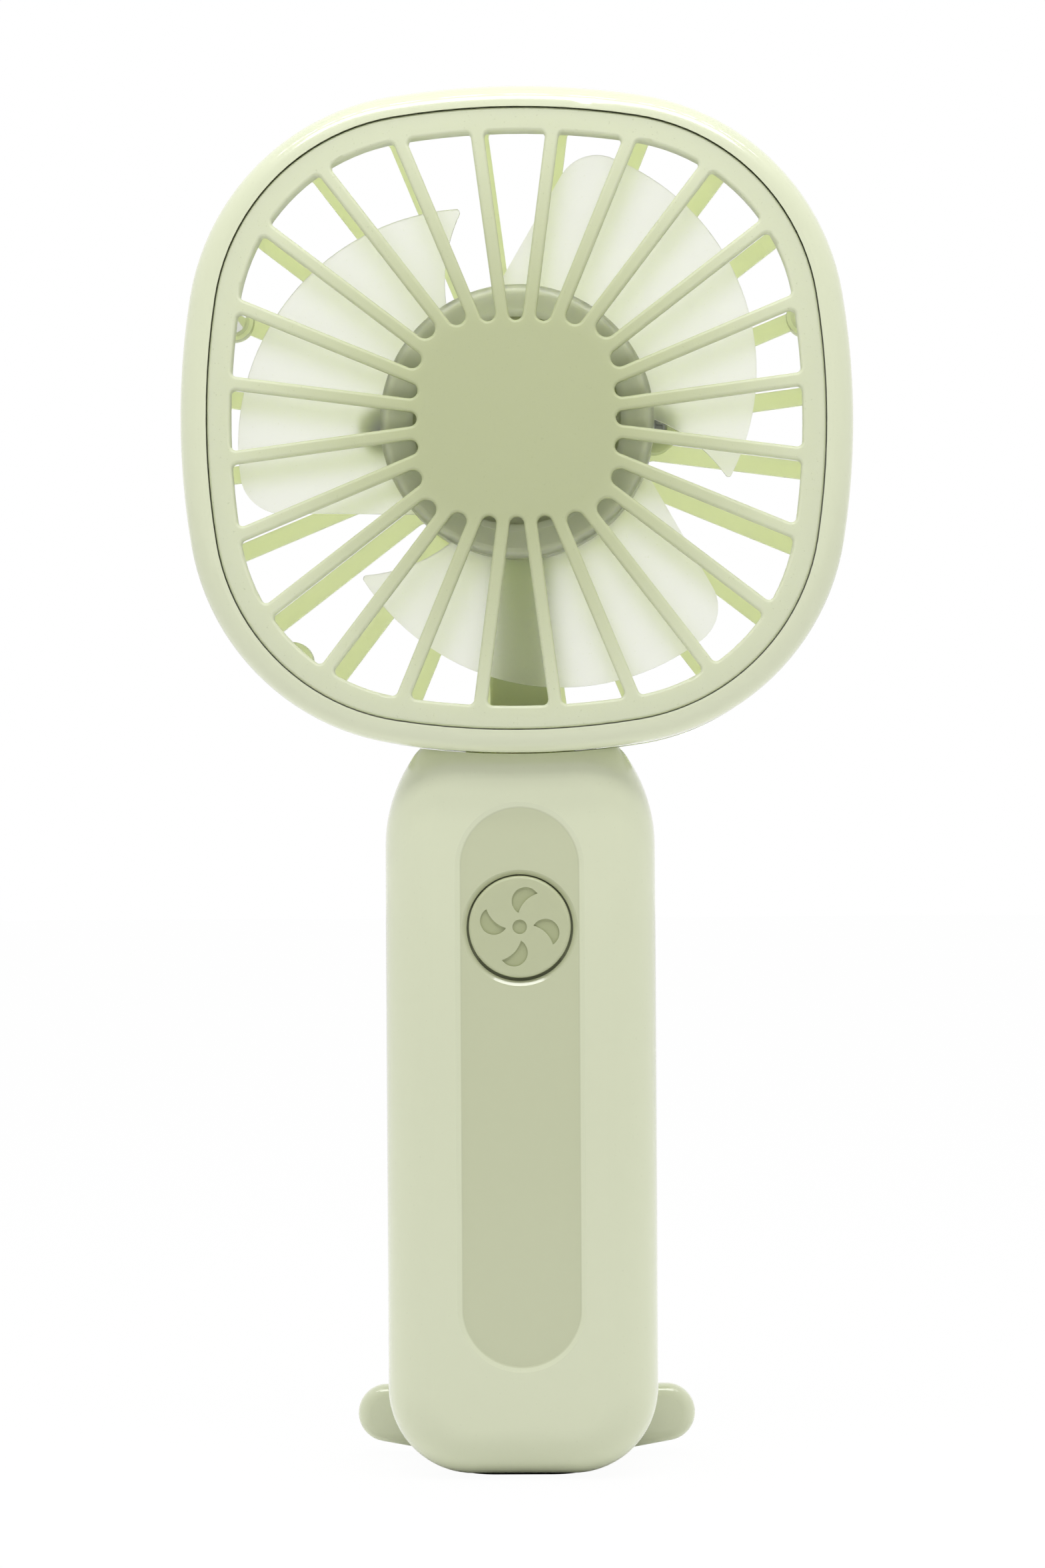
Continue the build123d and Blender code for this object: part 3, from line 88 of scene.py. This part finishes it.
class Graph:
    """A small helper round a material's node tree."""

    def __init__(self, name):
        self.material = bpy.data.materials.new(name)
        self.material.use_nodes = True
        self.tree = self.material.node_tree
        self.shader = self.tree.nodes["Principled BSDF"]
        self.coords = self.add("ShaderNodeTexCoord").outputs["Object"]

    def add(self, kind, **settings):
        node = self.tree.nodes.new(kind)
        for key, value in settings.items():
            setattr(node, key, value)
        return node

    def link(self, source, target):
        self.tree.links.new(source, target)

    def set(self, **values):
        for key, value in values.items():
            self.shader.inputs[key.replace("_", " ")].default_value = value

    def noise(self, scale, detail=2.0, rough=0.5):
        node = self.add("ShaderNodeTexNoise")
        node.inputs["Scale"].default_value = scale
        node.inputs["Detail"].default_value = detail
        node.inputs["Roughness"].default_value = rough
        self.link(self.coords, node.inputs["Vector"])
        return node.outputs["Fac"]

    def ramp(self, factor, low, high, start, end):
        node = self.add("ShaderNodeMapRange")
        node.inputs["From Min"].default_value = low
        node.inputs["From Max"].default_value = high
        node.inputs["To Min"].default_value = start
        node.inputs["To Max"].default_value = end
        self.link(factor, node.inputs["Value"])
        return node.outputs["Result"]

    def mix(self, factor, first, second):
        node = self.add("ShaderNodeMix", data_type="RGBA")
        self.link(factor, node.inputs["Factor"])
        for value, socket in ((first, node.inputs["A"]), (second, node.inputs["B"])):
            if isinstance(value, tuple):
                socket.default_value = value
            else:
                self.link(value, socket)
        return node.outputs["Result"]

    def bump(self, height, distance, strength=1.0):
        node = self.add("ShaderNodeBump")
        node.inputs["Distance"].default_value = distance
        node.inputs["Strength"].default_value = strength
        self.link(height, node.inputs["Height"])
        self.link(node.outputs["Normal"], self.shader.inputs["Normal"])


def shade(rgb, factor):
    """The same colour, lighter or darker."""
    return tuple(channel * factor for channel in rgb[:3]) + (1.0,)


def plastic(name, rgb, roughness, grain, depth, coat=0.0, glow=0.0, spread=0.003, clear=0.0,
            solid=None, change=None):
    """Moulded plastic: cloudy colour, fine speckle, and a grain of a given size and depth.

    glow is the share of light that soaks in and spreads, and clear the share that passes
    through. solid gives an axis and the two radii between which the plastic turns from solid
    to clear. change is a function that takes the graph and the base colour and returns the
    socket of a changed one.
    """
    g = Graph(name)
    cloud = g.ramp(g.noise(CLOUD_SCALE, 1), *CLOUD_RANGE, 0.0, 1.0)
    base = g.mix(cloud, shade(rgb, 1 - CLOUD_SWING), shade(rgb, 1 + CLOUD_SWING))
    if change:
        base = change(g, base)
    speckle = g.ramp(g.noise(SPECKLE_SCALE, 1), *SPECKLE_RANGE, 0.0, SPECKLE_SHARE)
    g.link(g.mix(speckle, base, shade(rgb, SPECKLE_TONE)), g.shader.inputs["Base Color"])
    rough = g.ramp(g.noise(POLISH_SCALE, 1), *POLISH_RANGE, roughness - 0.01, roughness + 0.02)
    g.link(rough, g.shader.inputs["Roughness"])
    g.set(IOR=PLASTIC_IOR, Coat_Weight=coat, Coat_Roughness=COAT_ROUGHNESS,
          Transmission_Weight=clear)
    if glow:
        g.set(Subsurface_Weight=glow, Subsurface_Scale=spread, Subsurface_Radius=GLOW_RADIUS)
    if solid:
        centre, (near, far) = solid
        through = g.ramp(distance_from(g, centre), near, far, 0.0, clear)
        g.link(through, g.shader.inputs["Transmission Weight"])
    g.bump(g.noise(1 / grain, 2), depth)
    return g.material


def metal(name, rgb, roughness):
    """Plated or ground steel with fine scratches."""
    g = Graph(name)
    tone = g.ramp(g.noise(DUSK_SCALE, 4, 0.6), *METAL_RANGE, 0.0, 1.0)
    g.link(g.mix(tone, shade(rgb, DUSK_TONE), rgb), g.shader.inputs["Base Color"])
    g.set(Metallic=1.0)
    rough = g.ramp(g.noise(WEAR_SCALE, 3), *METAL_RANGE, roughness - 0.06, roughness + 0.08)
    g.link(rough, g.shader.inputs["Roughness"])
    g.bump(g.noise(SCRATCH_SCALE, 2), SCRATCH_DEPTH)
    return g.material


def distance_from(g, centre):
    """The distance from the Y axis through a point."""
    offset = g.add("ShaderNodeVectorMath", operation="SUBTRACT")
    offset.inputs[1].default_value = centre
    g.link(g.coords, offset.inputs[0])
    flat = g.add("ShaderNodeVectorMath", operation="MULTIPLY")
    flat.inputs[1].default_value = (1, 0, 1)
    g.link(offset.outputs[0], flat.inputs[0])
    distance = g.add("ShaderNodeVectorMath", operation="LENGTH")
    g.link(flat.outputs[0], distance.inputs[0])
    return distance.outputs["Value"]


def paler_outward(centre, near, far, pale):
    """The colour grows paler with the distance from the Y axis through a point."""
    def change(g, base):
        return g.mix(g.ramp(distance_from(g, centre), near, far, 0.0, 1.0), base, pale)
    return change


ETCH_EDGE = 0.05 * MM                # how softly an etched floor begins


def etched_floor(depth, half_width, low, high, dark):
    """A recess's finely etched floor is darker: behind a depth, within a width and two heights."""
    def change(g, base):
        parts = g.add("ShaderNodeSeparateXYZ")
        g.link(g.coords, parts.inputs[0])
        x, y, z = (parts.outputs[name] for name in "XYZ")
        across = g.add("ShaderNodeMath", operation="ABSOLUTE")
        g.link(x, across.inputs[0])
        inside = g.ramp(y, depth - ETCH_EDGE, depth + ETCH_EDGE, 0.0, 1.0)
        for value, start, end in (
                (across.outputs[0], half_width + ETCH_EDGE, half_width - ETCH_EDGE),
                (z, low - ETCH_EDGE, low + ETCH_EDGE),
                (z, high + ETCH_EDGE, high - ETCH_EDGE)):
            both = g.add("ShaderNodeMath", operation="MULTIPLY")
            g.link(inside, both.inputs[0])
            g.link(g.ramp(value, start, end, 0.0, 1.0), both.inputs[1])
            inside = both.outputs[0]
        return g.mix(inside, base, dark)
    return change


PAINTED_RIM_LIGHT_RADIUS = (15 * MM, 44 * MM)    # painted light: the grille grows paler between these, from a painted shaded middle to a painted lit rim
HUB_RADIUS = (19 * MM, 20 * MM)      # hub and rear disc turn to clear plastic between these
PETAL_FLOOR, PETAL_REACH = 0.2 * MM, 6 * MM
PANEL_FLOOR, PANEL_HALF_WIDTH = 0.3 * MM, 8.7 * MM
PANEL_LOW, PANEL_HIGH = 16 * MM, 98.5 * MM
SOLID_CORE = ("motor_mount", "motor_cover", "wire_cover")    # rear parts that aren't clear


def make_materials():
    """One material for each slot, and one for the solid parts behind the fan."""
    head_z = (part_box("front_bezel")[0].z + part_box("front_bezel")[1].z) / 2
    handle_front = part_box("handle_front")[0].y
    button_low, button_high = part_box("button_cap")
    axis = (0, 0, head_z)
    # Painted light and shade: the grille's darker middle and paler rim are painted into its colour
    painted_rim_light = paler_outward(axis, *PAINTED_RIM_LIGHT_RADIUS, colour(212, 217, 188))
    petals = etched_floor(button_low.y + PETAL_FLOOR, PETAL_REACH, button_low.z, button_high.z,
                          colour(170, 176, 136))
    panel = etched_floor(handle_front + PANEL_FLOOR, PANEL_HALF_WIDTH, PANEL_LOW, PANEL_HIGH,
                         colour(194, 199, 164))
    return {
        # The grille's darker base colour is painted shade, lightened outward by the painted rim
        # light
        "grille_plastic": plastic("grille satin", colour(182, 188, 148), 0.42, 0.0004, 0.00001,
                                  glow=0.25, change=painted_rim_light),
        "shell_plastic": plastic("shell gloss", colour(214, 219, 188), 0.24, 0.0030, 0.000003,
                                 coat=1.0, change=panel),
        "rear_plastic": plastic("rear satin", colour(238, 248, 192), 0.45, 0.0006, 0.00001,
                                glow=0.8, spread=0.005, clear=0.75, solid=(axis, HUB_RADIUS)),
        "rear_core": plastic("rear solid", colour(226, 236, 184), 0.45, 0.0006, 0.00001,
                             glow=0.5, spread=0.003),
        "fan_plastic": plastic("blade milky", colour(230, 236, 200), 0.34, 0.0020, 0.000003,
                               glow=0.5, spread=0.006, clear=0.95, solid=(axis, HUB_RADIUS),
                               change=paler_outward(axis, *HUB_RADIUS, colour(254, 255, 247))),
        "button_plastic": plastic("button satin", colour(188, 193, 158), 0.38, 0.0005, 0.00001,
                                  glow=0.1, change=petals),
        "pad_rubber": plastic("pad rubber", colour(58, 60, 56), 0.75, 0.0005, 0.00005),
        "foam": plastic("foam", colour(46, 46, 46), 0.95, 0.0008, 0.0002),
        "end_cap_plastic": plastic("end cap", colour(50, 50, 52), 0.5, 0.0006, 0.00002),
        "switch_plastic": plastic("switch", colour(40, 40, 42), 0.45, 0.0006, 0.00002),
        "board": plastic("board", colour(30, 96, 58), 0.35, 0.0010, 0.00001, coat=0.4),
        "chip_plastic": plastic("chip", colour(34, 34, 36), 0.5, 0.0005, 0.00002),
        "lead_red": plastic("red lead", colour(190, 38, 32), 0.4, 0.0008, 0.00001),
        "lead_black": plastic("black lead", colour(28, 28, 28), 0.4, 0.0008, 0.00001),
        "cell_can": plastic("cell wrap", colour(88, 134, 168), 0.3, 0.0020, 0.00001, coat=0.5),
        "motor_steel": metal("motor steel", colour(196, 197, 198), 0.35),
        "core_steel": metal("core steel", colour(130, 130, 132), 0.5),
        "shaft_steel": metal("shaft steel", colour(208, 208, 210), 0.2),
        "screw_steel": metal("screw steel", colour(150, 152, 150), 0.35),
        "socket_steel": metal("socket steel", colour(190, 190, 192), 0.28),
        "magnet": metal("magnet", colour(80, 80, 84), 0.6),
        "copper": metal("copper", colour(202, 126, 82), 0.3),
        "bronze": metal("bronze", colour(186, 150, 92), 0.45),
        "nickel": metal("nickel", colour(200, 198, 190), 0.3),
    }


def dress_nodes(materials):
    """Give every carried-over node the material of its slot, or the solid one."""
    for row in frame["record"]["subparts"]:
        node = nodes[row["node"]]
        node.data.materials.clear()
        node.data.materials.append(materials[row["material_slot"]])
    for name in SOLID_CORE:
        nodes[name].data.materials[0] = materials["rear_core"]


# ---------------------------------------------------------------- stage and light
FLOOR_SIZE = 6.0
FLOOR_GREY = (0.9, 0.9, 0.9, 1.0)
FLOOR_WHITE = 0.96           # share of plain white that the camera sees in the floor
FRONT_LIGHT, SIDE_LIGHT = 0.0, 1.15     # how bright the studio is in front, and beside and behind
LIGHT_RISE = (-1.0, 0.1)     # the directions along Y between which it grows brighter


def make_stage():
    """A pale floor that the camera sees as nearly plain white, with the fan's shadow."""
    bpy.ops.mesh.primitive_plane_add(size=FLOOR_SIZE, location=(0, 0, 0))
    floor = bpy.context.active_object
    floor.name = "floor"
    g = Graph("floor")
    g.set(Roughness=0.8, Base_Color=FLOOR_GREY)
    path = g.add("ShaderNodeLightPath")
    white = g.add("ShaderNodeEmission")
    seen = g.add("ShaderNodeMixShader")
    share = g.add("ShaderNodeMath", operation="MULTIPLY")
    share.inputs[1].default_value = FLOOR_WHITE
    g.link(path.outputs["Is Camera Ray"], share.inputs[0])
    g.link(share.outputs[0], seen.inputs["Fac"])
    g.link(g.shader.outputs[0], seen.inputs[1])
    g.link(white.outputs[0], seen.inputs[2])
    g.link(seen.outputs[0], g.tree.nodes["Material Output"].inputs["Surface"])
    floor.data.materials.append(g.material)


def make_world():
    """White where it is seen or mirrored, and otherwise light that is weaker from the front."""
    world = bpy.data.worlds.new("studio")
    bpy.context.scene.world = world
    world.use_nodes = True
    tree = world.node_tree

    def add(kind, **settings):
        node = tree.nodes.new(kind)
        for key, value in settings.items():
            setattr(node, key, value)
        return node

    background = tree.nodes["Background"]
    background.inputs["Color"].default_value = (1, 1, 1, 1)
    path = add("ShaderNodeLightPath")
    seen = path.outputs["Is Camera Ray"]
    for ray in ("Is Glossy Ray", "Is Transmission Ray"):
        either = add("ShaderNodeMath", operation="MAXIMUM")
        tree.links.new(seen, either.inputs[0])
        tree.links.new(path.outputs[ray], either.inputs[1])
        seen = either.outputs[0]
    direction = add("ShaderNodeSeparateXYZ")
    tree.links.new(add("ShaderNodeTexCoord").outputs["Generated"], direction.inputs[0])
    light = add("ShaderNodeMapRange")
    light.inputs["From Min"].default_value = LIGHT_RISE[0]
    light.inputs["From Max"].default_value = LIGHT_RISE[1]
    light.inputs["To Min"].default_value = FRONT_LIGHT
    light.inputs["To Max"].default_value = SIDE_LIGHT
    tree.links.new(direction.outputs["Y"], light.inputs["Value"])
    level = add("ShaderNodeMapRange")
    level.inputs["To Max"].default_value = 1.0
    tree.links.new(light.outputs["Result"], level.inputs["To Min"])
    tree.links.new(seen, level.inputs["Value"])
    tree.links.new(level.outputs["Result"], background.inputs["Strength"])


def lamp(name, place, aim, size, watts):
    """A rectangular lamp that the camera doesn't see; places and sizes are in metres."""
    data = bpy.data.lights.new(name, "AREA")
    data.shape = "RECTANGLE"
    data.size, data.size_y = size
    data.energy = watts
    lamp_object = bpy.data.objects.new(name, data)
    lamp_object.location = place
    lamp_object.visible_camera = False
    direction = Vector(aim) - Vector(place)
    lamp_object.rotation_euler = direction.to_track_quat("-Z", "Y").to_euler()
    bpy.context.scene.collection.objects.link(lamp_object)


STRIP_LAMPS, STRIP_PITCH = 17, 0.056
STRIP_Y, STRIP_Z = -0.24, 0.756
BEZEL_TOP = 0.19             # the height that the strip is aimed at


def make_lights():
    lamp("top", place=(0, -0.06, 0.62), aim=(0, 0, 0.10), size=(0.50, 0.20), watts=0.15)
    lamp("key", place=(0, -0.24, 0.44), aim=(0, 0, 0.16), size=(0.36, 0.10), watts=0.75)
    # A row of small lamps, which the glossy bezel mirrors along its top
    for index in range(STRIP_LAMPS):
        x = (index - (STRIP_LAMPS - 1) / 2) * STRIP_PITCH
        lamp(f"strip_{index}", place=(x, STRIP_Y, STRIP_Z), aim=(x, 0, BEZEL_TOP),
             size=(0.038, 0.050), watts=0.06)


# ---------------------------------------------------------------- build
make_camera()
dress_nodes(make_materials())
make_stage()
make_world()
make_lights()
bpy.context.scene.view_settings.view_transform = "Standard"
